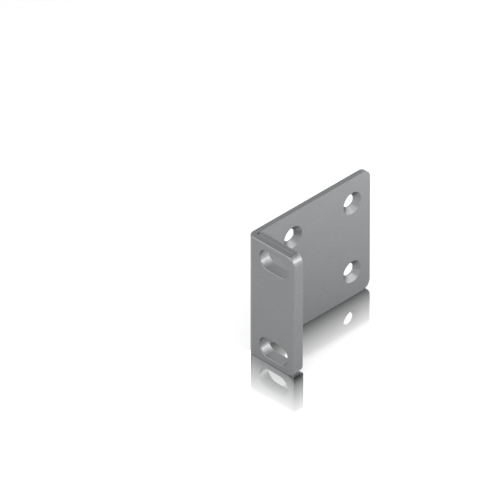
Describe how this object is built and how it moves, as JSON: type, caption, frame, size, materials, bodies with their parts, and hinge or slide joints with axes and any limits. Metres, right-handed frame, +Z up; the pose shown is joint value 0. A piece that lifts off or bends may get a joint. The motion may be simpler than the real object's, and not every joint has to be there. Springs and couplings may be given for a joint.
{
  "type": "rack mount ear bracket",
  "caption": "L-shaped sheet-steel rack ear: a plate with countersunk holes for a device's side, bent into a flange that is folded back on itself and has level slots for rack screws.",
  "frame": {"origin": "centre of the bounding box's bottom: the bracket stands on its lower edge", "axes": "+X runs across the flange, away from the device; +Y runs back along the plate; +Z is up, along the rack's height"},
  "size_m": [0.0196, 0.0496, 0.043],
  "materials": {
    "satin_steel": "satin"
  },
  "bodies": {
    "root": {"ear_bracket": "satin_steel"}
  },
  "joints": []
}
